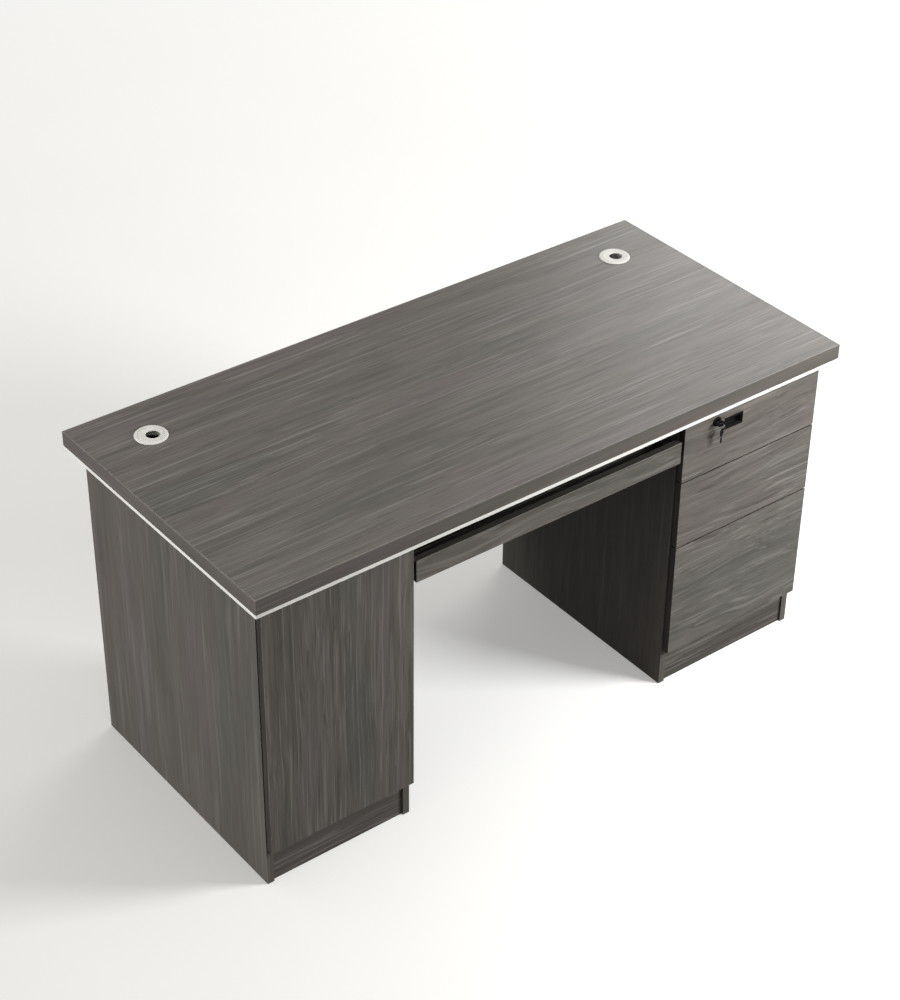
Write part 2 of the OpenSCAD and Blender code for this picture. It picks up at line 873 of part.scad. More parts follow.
module flush_pull() {
    x = lock_pos_x + pull_x;
    z = lock_pos_z - pull_z;
    color(BLACK) difference() {
        union() {
            block([x - pull_w / 2, y_face - pull_plate_t, z - pull_h / 2],
                  [x + pull_w / 2, y_face, z + pull_h / 2]);
            pull_block(0, pull_depth, 0);
        }
        pull_block(-pull_wall, pull_depth - pull_wall, pull_plate_t + eps);
    }
}

// ---------------------------------------------------------------- nodes

top_panel();
top_battens();
top_edge_bands();
top_backing_board();
grommet_sleeve(-1);  // grommet_sleeve_left
grommet_sleeve(1);  // grommet_sleeve_right
grommet_cap(-1);  // grommet_cap_left
grommet_cap(1);  // grommet_cap_right
left_outer_side();
left_inner_side();
left_bottom();
left_top();
left_back();
left_shelf();
left_plinth();
shelf_pins();
hinge_arms();
hinge_links();
hinge_cups();
door();
right_outer_side();
right_inner_side();
right_bottom();
right_top();
right_back();
right_plinth();
modesty_panel();
cam_fittings();
worktop_screws();
drawer_front(1);  // drawer_1_front
drawer_sides(1);  // drawer_1_sides
drawer_back(1);  // drawer_1_back
drawer_bottom(1);  // drawer_1_bottom
drawer_front(2);  // drawer_2_front
drawer_sides(2);  // drawer_2_sides
drawer_back(2);  // drawer_2_back
drawer_bottom(2);  // drawer_2_bottom
drawer_front(3);  // drawer_3_front
drawer_sides(3);  // drawer_3_sides
drawer_back(3);  // drawer_3_back
drawer_bottom(3);  // drawer_3_bottom
drawer_runner_outers();
drawer_runner_mids(1);  // drawer_1_runner_mids
drawer_runner_mids(2);  // drawer_2_runner_mids
drawer_runner_mids(3);  // drawer_3_runner_mids
drawer_runner_inners(1);  // drawer_1_runner_inners
drawer_runner_inners(2);  // drawer_2_runner_inners
drawer_runner_inners(3);  // drawer_3_runner_inners
tray_board();
tray_lip();
tray_runner_outers();
tray_runner_mids();
tray_runner_inners();
lock_body();
lock_plug();
lock_cam();
key();
key_ring();
spare_key();
flush_pull();
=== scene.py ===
"""Looks of the writing desk: camera, studio, materials, edge finish and the small detail pieces."""

import json
import math

import bmesh
import bpy
from mathutils import Matrix, Vector


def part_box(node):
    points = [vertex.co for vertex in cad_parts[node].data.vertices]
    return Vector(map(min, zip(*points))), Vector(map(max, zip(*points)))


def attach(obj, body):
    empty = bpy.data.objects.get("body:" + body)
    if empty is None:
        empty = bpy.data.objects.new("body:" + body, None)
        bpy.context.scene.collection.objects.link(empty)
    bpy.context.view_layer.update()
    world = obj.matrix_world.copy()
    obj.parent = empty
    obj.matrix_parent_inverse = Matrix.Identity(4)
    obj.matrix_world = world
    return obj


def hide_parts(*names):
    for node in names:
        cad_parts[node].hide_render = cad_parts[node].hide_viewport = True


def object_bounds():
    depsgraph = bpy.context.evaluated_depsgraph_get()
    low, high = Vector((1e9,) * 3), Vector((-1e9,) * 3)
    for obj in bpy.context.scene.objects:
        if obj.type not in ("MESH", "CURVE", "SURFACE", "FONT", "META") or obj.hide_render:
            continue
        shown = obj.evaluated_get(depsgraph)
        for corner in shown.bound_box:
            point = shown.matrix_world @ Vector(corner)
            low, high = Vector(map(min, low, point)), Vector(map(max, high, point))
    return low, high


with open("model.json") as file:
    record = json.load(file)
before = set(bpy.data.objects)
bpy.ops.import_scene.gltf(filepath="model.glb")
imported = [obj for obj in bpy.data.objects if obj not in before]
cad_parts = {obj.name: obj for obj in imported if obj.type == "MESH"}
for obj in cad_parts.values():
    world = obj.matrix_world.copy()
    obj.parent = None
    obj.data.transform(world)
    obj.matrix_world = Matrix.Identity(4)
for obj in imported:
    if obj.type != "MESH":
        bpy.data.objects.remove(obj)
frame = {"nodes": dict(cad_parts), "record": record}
CAD_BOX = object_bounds()

MM = 0.001
X, Y, Z = 0, 1, 2
NODES = frame["nodes"]
SLOT_OF = {part["node"]: part["material_slot"] for part in frame["record"]["subparts"]}


# ---------------------------------------------------------------- camera

# Worked out from the desk's straight edges in the photo; the turn is in degrees
LENS = 83.13
CAMERA_PLACE = (-2.513, -3.186, 3.324)
CAMERA_TURN = (54.895, -0.522, -37.551)


def add_camera():
    """Looks down on the desk from its front left."""
    data = bpy.data.cameras.new("camera")
    data.lens = LENS
    camera = bpy.data.objects.new("camera", data)
    camera.location = CAMERA_PLACE
    camera.rotation_euler = [math.radians(angle) for angle in CAMERA_TURN]
    bpy.context.scene.collection.objects.link(camera)
    bpy.context.scene.camera = camera


add_camera()


# ---------------------------------------------------------------- node trees

class Graph:
    """A material and short calls that add nodes to it. Inputs are sockets or plain values."""

    def __init__(self, name):
        self.material = bpy.data.materials.new(name)
        self.material.use_nodes = True
        self.tree = self.material.node_tree
        self.shader = self.tree.nodes["Principled BSDF"]

    def put(self, socket, value):
        if isinstance(value, bpy.types.NodeSocket):
            self.tree.links.new(value, socket)
        else:
            socket.default_value = value

    def add(self, kind, inputs=(), **settings):
        node = self.tree.nodes.new("ShaderNode" + kind)
        for key, value in settings.items():
            setattr(node, key, value)
        for key, value in dict(inputs).items():
            self.put(node.inputs[key], value)
        return node

    def surface(self, **inputs):
        for key, value in inputs.items():
            self.put(self.shader.inputs[key.replace("_", " ")], value)

    def coordinates(self):
        return self.add("TexCoord").outputs["Object"]

    def vector(self, operation, a, b):
        return self.add("VectorMath", {0: a, 1: b}, operation=operation).outputs[0]

    def math(self, operation, a, b=0.0, c=0.0):
        return self.add("Math", {0: a, 1: b, 2: c}, operation=operation).outputs[0]

    def noise(self, vector, detail=2.0, roughness=0.5, colour=False):
        """Noise with one feature a unit; the vector sets the scale."""
        inputs = {"Vector": vector, "Scale": 1.0, "Detail": detail, "Roughness": roughness}
        node = self.add("TexNoise", inputs)
        return node.outputs["Color" if colour else "Fac"]

    def fit(self, value, low, high, new_low=0.0, new_high=1.0):
        inputs = {"Value": value, "From Min": low, "From Max": high, "To Min": new_low, "To Max": new_high}
        return self.add("MapRange", inputs).outputs[0]

    def mix(self, factor, a, b, blend="MIX"):
        node = self.add("Mix", {0: factor}, data_type="RGBA", blend_type=blend)
        self.put(node.inputs[6], a)
        self.put(node.inputs[7], b)
        return node.outputs[2]

    def bump(self, height, distance, strength=1.0):
        inputs = {"Height": height, "Distance": distance, "Strength": strength}
        self.put(self.shader.inputs["Normal"], self.add("Bump", inputs).outputs[0])


def rgba(red, green, blue):
    return (red, green, blue, 1.0)


def axis_scale(along, along_scale, cross_scale):
    """A scale vector that is long along one axis and fine across it."""
    return tuple(along_scale if axis == along else cross_scale for axis in (X, Y, Z))


# ---------------------------------------------------------------- laminate

PURPLE_GREY = rgba(0.116, 0.103, 0.098)
BROWN_GREY = rgba(0.112, 0.101, 0.091)
GREEN_GREY = rgba(0.098, 0.094, 0.084)
PALE_LINE = rgba(0.225, 0.215, 0.203)
DARK_LINE = rgba(0.050, 0.045, 0.042)
# Painted shade: near-black for the edges of the door and drawer fronts, standing for the shadow in the gaps
# round them
EDGE_SHADE = rgba(0.010, 0.009, 0.008)
# How far the small waves push the grain sideways
RIPPLE = 2.4 * MM
# Noise scales along and across the grain, in features a metre. The first two bend the grain, the patches
# tint it, broad to hair shade it, and the pores are dark dashes
DRIFT = (2.4, 5.0)
WAVELETS = (9.0, 30.0)
PATCHES = (1.4, 11.0)
BROAD = (1.8, 30.0)
MEDIUM = (3.6, 105.0)
FINE = (7.0, 290.0)
HAIR = (16.0, 900.0)
PORES = (5.0, 240.0)
LINES_ALONG = 2.6
# Two sets of pale lines: scale across the grain, offset in the noise, strength
PALE_LINES = ((170.0, 3.0, 0.50), (330.0, 8.0, 0.42))


def grain_coordinates(g, along, end):
    """Object coordinates. On faces that look along the grain, the grain follows the end axis instead."""
    plain = g.coordinates()
    split = g.add("SeparateXYZ", {0: plain})
    order = [X, Y, Z]
    order[along], order[end] = end, along
    turned = g.add("CombineXYZ", {i: split.outputs[order[i]] for i in (X, Y, Z)}).outputs[0]
    normal = g.add("SeparateXYZ", {0: g.add("TexCoord").outputs["Normal"]}).outputs[along]
    facing = g.math("GREATER_THAN", g.math("ABSOLUTE", normal), 0.7)
    mixed = g.add("Mix", {0: facing}, data_type="VECTOR")
    g.put(mixed.inputs[4], plain)
    g.put(mixed.inputs[5], turned)
    return mixed.outputs[1]


def laminate(name, along, end, width=1.0, contrast=1.0, wave=0.010, shift=0.0, light=1.0, face=None):
    """Dark grey streaky woodgrain laminate. A width above 1 makes the streaks wider and softer. Where a
    face axis is given, the edges, which don't look along it, are painted nearly black: painted shade for the
    shadow in the gaps round the door and fronts."""
    g = Graph(name)
    place = g.vector("ADD", grain_coordinates(g, along, end), (shift, shift, shift))
    drift = g.noise(g.vector("MULTIPLY", place, axis_scale(along, *DRIFT)), 2.0, colour=True)
    push = axis_scale(along, 0.0, 2 * wave)
    place = g.vector("ADD", place, g.vector("MULTIPLY", g.vector("SUBTRACT", drift, (0.5, 0.5, 0.5)), push))
    ripple = g.noise(g.vector("MULTIPLY", place, axis_scale(along, *WAVELETS)), 1.0, colour=True)
    push = axis_scale(along, 0.0, RIPPLE)
    place = g.vector("ADD", place, g.vector("MULTIPLY", g.vector("SUBTRACT", ripple, (0.5, 0.5, 0.5)), push))

    def streaks(along_scale, cross_scale, detail, roughness=0.55, offset=0.0):
        scale = axis_scale(along, along_scale, cross_scale / width)
        moved = g.vector("ADD", g.vector("MULTIPLY", place, scale), (offset, offset, offset))
        return g.noise(moved, detail, roughness)

    def swing(value, amount):
        return g.fit(value, 0.3, 0.7, -amount, amount)

    patches = streaks(*PATCHES, 2.0)
    hue = g.mix(g.fit(patches, 0.36, 0.52), GREEN_GREY, BROWN_GREY)
    hue = g.mix(g.fit(patches, 0.52, 0.66), hue, PURPLE_GREY)
    broad = streaks(*BROAD, 3.0)
    medium = streaks(*MEDIUM, 4.0, 0.65)
    fine = streaks(*FINE, 3.0, 0.65)
    hair = streaks(*HAIR, 2.0)
    shade = g.math("ADD", swing(broad, 0.13 * contrast), light)
    for value, amount in ((medium, 0.17), (fine, 0.15), (hair, 0.09)):
        shade = g.math("ADD", shade, swing(value, amount * contrast))
    shade_colour = g.add("CombineColor", {0: shade, 1: shade, 2: shade}).outputs[0]
    wood = g.mix(1.0, hue, shade_colour, "MULTIPLY")
    for cross_scale, offset, amount in PALE_LINES:
        lines = g.fit(streaks(LINES_ALONG, cross_scale, 1.0, 0.4, offset), 0.60, 0.70)
        wood = g.mix(g.math("MULTIPLY", lines, amount * contrast), wood, PALE_LINE)
    pores = g.fit(streaks(*PORES, 1.0, 0.4, 5.0), 0.33, 0.27)
    wood = g.mix(g.math("MULTIPLY", pores, 0.55 * contrast), wood, DARK_LINE)
    # Painted shade: faces that don't look along the face axis, the edges in the gaps, are darkened towards
    # near-black
    if face is not None:
        normal = g.add("SeparateXYZ", {0: g.add("TexCoord").outputs["Normal"]}).outputs[face]
        shaded_edge = g.math("LESS_THAN", g.math("ABSOLUTE", normal), 0.35)
        wood = g.mix(g.math("MULTIPLY", shaded_edge, 0.72), wood, EDGE_SHADE)
    gloss = g.math("ADD", g.fit(medium, 0.3, 0.7, 0.37, 0.31), g.fit(fine, 0.3, 0.7, 0.03, -0.03))
    g.surface(Base_Color=wood, Roughness=gloss, Specular_IOR_Level=0.5)
    relief = g.math("ADD", fine, g.math("MULTIPLY", medium, 0.6))
    g.bump(relief, 0.12 * MM, 0.35)
    return g.material


def arris(name):
    """The rounded edge of the edge banding, painted paler than the boards: a painted highlight along the
    edge.
    """
    g = Graph(name)
    tone = g.noise(g.vector("MULTIPLY", g.coordinates(), (60, 60, 60)), 2.0)
    g.surface(Base_Color=g.mix(g.fit(tone, 0.3, 0.7), rgba(0.20, 0.19, 0.18), rgba(0.26, 0.25, 0.24)))
    g.surface(Roughness=g.fit(tone, 0.3, 0.7, 0.28, 0.36))
    return g.material


# ---------------------------------------------------------------- other finishes

def melamine(name, low, high, roughness):
    """Plain pressed melamine: a faint cloud in its colour and a fine orange-peel relief."""
    g = Graph(name)
    place = g.coordinates()
    cloud = g.noise(g.vector("MULTIPLY", place, (9, 9, 9)), 3.0)
    peel = g.noise(g.vector("MULTIPLY", place, (900, 900, 900)), 2.0)
    g.surface(Base_Color=g.mix(g.fit(cloud, 0.3, 0.7), low, high))
    g.surface(Roughness=g.fit(peel, 0.3, 0.7, roughness - 0.05, roughness + 0.05))
    g.bump(peel, 0.05 * MM, 0.3)
    return g.material


def plastic(name, low, high, roughness, grain):
    """Moulded plastic with a spark-eroded grain and slightly uneven gloss."""
    g = Graph(name)
    place = g.coordinates()
    cloud = g.noise(g.vector("MULTIPLY", place, (60, 60, 60)), 3.0)
    texture = g.noise(g.vector("MULTIPLY", place, (2600, 2600, 2600)), 1.0)
    g.surface(Base_Color=g.mix(g.fit(cloud, 0.3, 0.7), low, high))
    g.surface(Roughness=g.fit(cloud, 0.3, 0.7, roughness - 0.04, roughness + 0.05), Specular_IOR_Level=0.3)
    g.bump(texture, 0.03 * MM, grain)
    return g.material


def rolled_steel(name):
    """Zinc-plated strip: pale blue-grey metal with fine drawing lines along the runner."""
    g = Graph(name)
    place = g.coordinates()
    lines = g.noise(g.vector("MULTIPLY", place, (1500, 12, 1500)), 2.0)
    cloud = g.noise(g.vector("MULTIPLY", place, (40, 18, 40)), 3.0)
    g.surface(Base_Color=g.mix(g.fit(cloud, 0.3, 0.7), rgba(0.50, 0.52, 0.55), rgba(0.66, 0.67, 0.69)))
    g.surface(Metallic=1.0, Roughness=g.fit(lines, 0.3, 0.7, 0.26, 0.42))
    g.bump(lines, 0.02 * MM, 0.4)
    return g.material


def nickel(name, low=rgba(0.62, 0.61, 0.59), high=rgba(0.76, 0.75, 0.73)):
    """Nickel-plated steel with faint handling marks."""
    g = Graph(name)
    place = g.coordinates()
    smudge = g.noise(g.vector("MULTIPLY", place, (130, 130, 130)), 4.0)
    marks = g.noise(g.vector("MULTIPLY", place, (700, 2600, 700)), 2.0)
    g.surface(Base_Color=g.mix(g.fit(smudge, 0.3, 0.7), low, high))
    g.surface(Metallic=1.0, Roughness=g.fit(smudge, 0.3, 0.7, 0.16, 0.32))
    g.bump(marks, 0.01 * MM, 0.4)
    return g.material


TOP = laminate("laminate_top", X, Y)
TOP_EDGE = laminate("laminate_top_edge", X, Y, contrast=0.45, shift=3.1, wave=0.0)
FRONTS = laminate("laminate_fronts", X, Z, width=1.35, wave=0.034, shift=5.3, light=1.10, face=Y)
# Painted shade: the boards with lengthwise grain, the plinths among them, are painted darker, for the shadow
# under the drawer fronts
LONG_SHADED = laminate("laminate_long_shaded", X, Z, width=1.2, wave=0.012, shift=7.7, light=0.82)
DOOR = laminate("laminate_door", Z, X, width=0.9, shift=1.7, face=Y)
UPRIGHT = laminate("laminate_upright", Z, Y, width=2.0, contrast=0.5, shift=9.2)
# Painted shade: the tray board is painted far darker than the other laminates, for the shadow inside the gap
# above the tray's lip
TRAY_SHADED = laminate("laminate_tray_shaded", X, Y, light=0.32, shift=4.4)
# Painted highlight: the rounded edges of the banded boards take this paler colour
ARRIS_HIGHLIGHT = arris("laminate_arris_highlight")
CORE = melamine("grey_melamine", rgba(0.40, 0.39, 0.37), rgba(0.46, 0.45, 0.43), 0.5)
WHITE = melamine("white_melamine", rgba(0.75, 0.74, 0.71), rgba(0.80, 0.79, 0.76), 0.42)
GROMMET = plastic("grommet_plastic", rgba(0.64, 0.63, 0.60), rgba(0.71, 0.70, 0.67), 0.38, 0.35)
BLACK = plastic("black_plastic", rgba(0.006, 0.006, 0.006), rgba(0.010, 0.010, 0.010), 0.42, 0.5)
ZINC = rolled_steel("rolled_steel")
NICKEL = nickel("nickel_steel")
DARK_STEEL = nickel("black_nickel", rgba(0.040, 0.040, 0.042), rgba(0.065, 0.065, 0.068))

BY_SLOT = {
    "woodgrain_long": LONG_SHADED, "woodgrain_upright": UPRIGHT, "board_core": CORE, "white_board": WHITE,
    "grommet_plastic": GROMMET, "runner_steel": ZINC, "hardware_steel": NICKEL, "black_plastic": BLACK,
}
BY_NODE = {
    "top_panel": TOP, "top_edge_bands": TOP_EDGE, "door": DOOR,
    "drawer_1_front": FRONTS, "drawer_2_front": FRONTS, "drawer_3_front": FRONTS, "tray_lip": FRONTS,
    "lock_plug": DARK_STEEL, "tray_board": TRAY_SHADED,
}


# ---------------------------------------------------------------- edge finish of the CAD nodes

EDGE_OF = {
    "woodgrain_long": 0.5 * MM, "woodgrain_upright": 0.5 * MM, "board_core": 0.4 * MM,
    "white_board": 0.4 * MM, "grommet_plastic": 0.35 * MM, "runner_steel": 0.25 * MM,
    "hardware_steel": 0.2 * MM, "black_plastic": 0.35 * MM,
}
BANDED = ("woodgrain_long", "woodgrain_upright")
# Thin stampings that pass 0.6 mm from each other keep their exact shape
STAMPED = ("hinge_cups", "hinge_links")


def soften_edges(obj, width, second_material):
    """Rounds the sharp edges. The rounded strips take the second material where there is one."""
    weld = obj.modifiers.new("weld", "WELD")
    weld.merge_threshold = 0.01 * MM
    flat = obj.modifiers.new("flat", "DECIMATE")
    flat.decimate_type = "DISSOLVE"
    flat.angle_limit = math.radians(0.5)
    bevel = obj.modifiers.new("bevel", "BEVEL")
    bevel.width = width
    bevel.segments = 2
    bevel.limit_method = "ANGLE"
    bevel.angle_limit = math.radians(40)
    bevel.miter_outer = "MITER_ARC"
    if second_material:
        bevel.material = 1
    normals = obj.modifiers.new("normals", "WEIGHTED_NORMAL")
    normals.keep_sharp = False


def finish_nodes():
    """Gives every CAD node its material and rounded edges."""
    for name, obj in NODES.items():
        slot = SLOT_OF[name]
        obj.data.materials.clear()
        obj.data.materials.append(BY_NODE.get(name, BY_SLOT[slot]))
        banded = slot in BANDED and not name.endswith("_front")
        if banded:
            obj.data.materials.append(ARRIS_HIGHLIGHT)
        if name not in STAMPED:
            soften_edges(obj, EDGE_OF[slot], banded)


finish_nodes()


# ---------------------------------------------------------------- mesh building

def piece(name, bm, material, body):
    """Makes a mesh into a piece that rides on a body."""
    bmesh.ops.remove_doubles(bm, verts=bm.verts, dist=0.001 * MM)
    bmesh.ops.recalc_face_normals(bm, faces=bm.faces)
    mesh = bpy.data.meshes.new(name)
    bm.to_mesh(mesh)
    bm.free()
    mesh.materials.append(material)
    obj = bpy.data.objects.new(name, mesh)
    bpy.context.scene.collection.objects.link(obj)
    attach(obj, body)
    return obj


def smooth(obj, angle=35):
    """Smooth shading with a crease wherever faces meet at more than the angle."""
    limit = math.radians(angle)
    bm = bmesh.new()
    bm.from_mesh(obj.data)
    for face in bm.faces:
        face.smooth = True
    for edge in bm.edges:
        edge.smooth = len(edge.link_faces) == 2 and edge.calc_face_angle(0) < limit
    bm.to_mesh(obj.data)
    bm.free()


def loft(bm, rings, closed_ring=False):
    """Skins a list of rings of points. The ends are capped, or the last ring joins the first."""
    loops = [[bm.verts.new(point) for point in ring] for ring in rings]
    pairs = list(zip(loops, loops[1:]))
    if closed_ring:
        pairs.append((loops[-1], loops[0]))
    for low, high in pairs:
        for i in range(len(low)):
            j = (i + 1) % len(low)
            bm.faces.new((low[i], low[j], high[j], high[i]))
    if not closed_ring:
        bm.faces.new(loops[0][::-1])
        bm.faces.new(loops[-1])


def circle(radius, height, steps):
    """A ring of points round the Z axis at a height."""
    turns = [2 * math.pi * i / steps for i in range(steps)]
    return [Vector((radius * math.cos(t), radius * math.sin(t), height)) for t in turns]


def rounded_rectangle(half_w, half_h, radius, steps=6):
    """Points round a rectangle with round corners, as (across, up) pairs."""
    points = []
    for corner, (sx, sz) in enumerate(((1, 1), (-1, 1), (-1, -1), (1, -1))):
        for i in range(steps + 1):
            turn = math.pi / 2 * (corner + i / steps)
            points.append((sx * (half_w - radius) + radius * math.cos(turn),
                           sz * (half_h - radius) + radius * math.sin(turn)))
    return points


def frame_along(direction):
    """A rotation whose third axis is the direction."""
    return Vector(direction).to_track_quat("Z", "Y").to_matrix()


# ---------------------------------------------------------------- screws

# The profile of a pan head from its rim up, as shares of its radius and height
PAN_HEAD = ((1, 0), (1, 0.35), (0.93, 0.62), (0.78, 0.84), (0.52, 0.97), (0.2, 1))
PAN_STEPS = 28
# The cross recess: length and width as shares of the radius, depth as a share of the height
CROSS = (1.15, 0.24, 1.3)
# Radius and height of each kind of head
RUNNER_HEAD = (3.3 * MM, 1.8 * MM)
PLATE_HEAD = (3.2 * MM, 1.5 * MM)
CUP_HEAD = (3.0 * MM, 1.3 * MM)
# Each screw stops at a turn that is this much further than the one before, in radians
SCREW_TURN = 0.7


def screw_mesh(radius, height):
    """A pan-head screw seen from outside: a domed head with a cross recess, along +Z."""
    dome = bmesh.new()
    loft(dome, [circle(across * radius, up * height, PAN_STEPS) for across, up in PAN_HEAD])
    cutter = bmesh.new()
    for turn in (0, math.pi / 2):
        arm = bmesh.ops.create_cube(cutter, size=1.0)["verts"]
        bmesh.ops.scale(cutter, verts=arm, vec=(CROSS[0] * radius, CROSS[1] * radius, CROSS[2] * height))
        bmesh.ops.translate(cutter, verts=arm, vec=(0, 0, height))
        bmesh.ops.rotate(cutter, verts=arm, matrix=Matrix.Rotation(turn, 3, "Z"))
    objects = []
    for bm in (dome, cutter):
        bmesh.ops.recalc_face_normals(bm, faces=bm.faces)
        mesh = bpy.data.meshes.new("screw_template")
        bm.to_mesh(mesh)
        bm.free()
        objects.append(bpy.data.objects.new("screw_template", mesh))
        bpy.context.scene.collection.objects.link(objects[-1])
    head, cross = objects
    cut = head.modifiers.new("cut", "BOOLEAN")
    cut.object = cross
    cut.operation = "DIFFERENCE"
    cut.solver = "EXACT"
    cut.use_self = True
    made = bpy.data.meshes.new_from_object(head.evaluated_get(bpy.context.evaluated_depsgraph_get()))
    for obj in objects:
        bpy.data.objects.remove(obj)
    return made


def screws(name, body, head, places):
    """One piece that holds a screw head at each (point, direction) of places."""
    template = screw_mesh(*head)
    bm = bmesh.new()
    for i, (point, direction) in enumerate(places):
        one = bmesh.new()
        one.from_mesh(template)
        turn = Matrix.Rotation(SCREW_TURN * i, 4, "Z")
        matrix = Matrix.Translation(point) @ frame_along(direction).to_4x4() @ turn
        bmesh.ops.transform(one, matrix=matrix, verts=one.verts)
        moved = bpy.data.meshes.new("moved")
        one.to_mesh(moved)
        one.free()
        bm.from_mesh(moved)
        bpy.data.meshes.remove(moved)
    bpy.data.meshes.remove(template)
    smooth(piece(name, bm, NICKEL, body))


RUNNER_SHEET = 1.2 * MM
# From the inner members' flange edges, where their box starts, to the outer face of their web
WEB_BACK = (4.6 - 1.2) * MM
# The first and last screws from the ends of a runner, and how far the moving screws sit behind the fixed ones
FRONT_SCREW = 34 * MM
REAR_SCREW = 40 * MM
MOVING_BEHIND = 12 * MM


def runner_screws():
    """Screws through the fixed members into the sides, and through the inner members into the boxes."""
    bay_low, bay_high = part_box("drawer_runner_outers")
    for name in ("drawer_1", "drawer_2", "drawer_3", "tray"):
        low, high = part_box(name + "_runner_inners")
        height = (low.z + high.z) / 2
        outer_low, outer_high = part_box("tray_runner_outers") if name == "tray" else (bay_low, bay_high)
        fixed, moving = [], []
        for y in (low.y + FRONT_SCREW, (low.y + high.y) / 2, high.y - REAR_SCREW):
            fixed.append((Vector((outer_low.x + RUNNER_SHEET, y, height)), (1, 0, 0)))
            fixed.append((Vector((outer_high.x - RUNNER_SHEET, y, height)), (-1, 0, 0)))
            moving.append((Vector((low.x + WEB_BACK, y + MOVING_BEHIND, height)), (-1, 0, 0)))
            moving.append((Vector((high.x - WEB_BACK, y + MOVING_BEHIND, height)), (1, 0, 0)))
        screws(name + "_runner_fixed_screws", "frame", RUNNER_HEAD, fixed)
        screws(name + "_runner_box_screws", name, RUNNER_HEAD, moving)


runner_screws()


PLATE_HALF = 22 * MM
PLATE_SHEET = 3 * MM
# The plate's screws from the front of the arms' box, and above and below the hinge's middle
PLATE_SCREW_BACK = 55 * MM
PLATE_SCREW_DROP = 16 * MM
WING_SCREW_DROP = 21 * MM


def hinge_screws():
    """Screws through the mounting plates into the side, and through the cup wings into the door."""
    low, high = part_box("hinge_arms")
    side_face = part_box("left_outer_side")[1].x
    cup_low, cup_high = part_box("hinge_cups")
    plates, wings = [], []
    for height in (low.z + PLATE_HALF, high.z - PLATE_HALF):
        for drop in (-PLATE_SCREW_DROP, PLATE_SCREW_DROP):
            place = Vector((side_face + PLATE_SHEET, low.y + PLATE_SCREW_BACK, height + drop))
            plates.append((place, (1, 0, 0)))
        for drop in (-WING_SCREW_DROP, WING_SCREW_DROP):
            place = Vector(((cup_low.x + cup_high.x) / 2, cup_high.y, height + drop))
            wings.append((place, (0, 1, 0)))
    screws("hinge_plate_screws", "frame", PLATE_HEAD, plates)
    screws("hinge_cup_screws", "door", CUP_HEAD, wings)


hinge_screws()


# ---------------------------------------------------------------- flush pull

PULL_RIM = 3 * MM
PULL_CORNER = 1.6 * MM
# Rounding of the frame's outer edge, and depth of the groove along its face
PULL_ROUND = 0.4 * MM
PULL_GROOVE = 0.35 * MM


def flush_pull():
    """A thin rounded frame round a pocket with rounded inner walls."""
    low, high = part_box("flush_pull")
    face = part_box("drawer_1_front")[0].y
    centre = Vector(((low.x + high.x) / 2, face, (low.z + high.z) / 2))
    half_w, half_h = (high.x - low.x) / 2, (high.z - low.z) / 2
    depth, proud = high.y - face, face - low.y
    # Inset from the outline and distance behind the drawer's face: from the back of the pocket up its
    # outside, over the rim and the groove in it, then down the inner wall to the pocket's floor
    steps = [(PULL_RIM, depth), (PULL_RIM, 0), (0, 0), (0, PULL_ROUND - proud), (PULL_ROUND, -proud),
             (1.7 * MM, -proud), (2.1 * MM, -proud + PULL_GROOVE), (2.9 * MM, -proud + PULL_GROOVE),
             (3.3 * MM, -proud), (3.8 * MM, -proud), (4.1 * MM, 0.3 * MM - proud),
             (4.9 * MM, depth - 2.2 * MM), (6.0 * MM, depth - 1.1 * MM)]
    rings = []
    for inset, back in steps:
        outline = rounded_rectangle(half_w - inset, half_h - inset, PULL_CORNER)
        rings.append([centre + Vector((x, back, z)) for x, z in outline])
    bm = bmesh.new()
    loft(bm, rings)
    obj = piece("pull_frame", bm, BLACK, "drawer_1")
    smooth(obj, 50)
    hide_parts("flush_pull")


flush_pull()


# ---------------------------------------------------------------- keys

BLADE_HALF_W = 3.3 * MM
BLADE_HALF_T = 1.0 * MM
# Share of a blade's outline that its bevelled faces keep
BLADE_BEVEL = 0.90
BOW_ROUND = 0.4 * MM
FIELD_SINK = 0.35 * MM

# The key in the lock: its bow's middle from the bow's front edge, then the bow's gap to the drawer's face,
# and the start of the blade in front of that face
BOW_BACK = 8.5 * MM
BOW_GAP = 2.7 * MM
BLADE_START = -3.4 * MM
KEY_HOLE = 3 * MM

# The spare key: its turn about the vertical, its bow, and the cuts of its blade from the tip up
SPARE_TURN = math.radians(25)
SPARE_RADIUS = 9 * MM
SPARE_HALF_T = 1.1 * MM
SPARE_HOLE = 4 * MM
SPARE_HOLE_UP = 3.3 * MM
SPARE_LAP = 0.8 * MM
SPARE_CUTS = (1.1 * MM, 1.9 * MM, 0.8 * MM, 1.6 * MM)

# The ring: a flattened wire's two half sizes, the distance between its first and last turn, the number of
# turns, and where the first one starts, in radians
WIRE = 0.36 * MM
WIRE_HALF_W = WIRE * 0.92
WIRE_HALF_H = WIRE * 1.35
RING_SPREAD = 2.05 * WIRE
RING_TURNS = 1.96
RING_START = 0.8
RING_STEPS = 144
WIRE_STEPS = 10


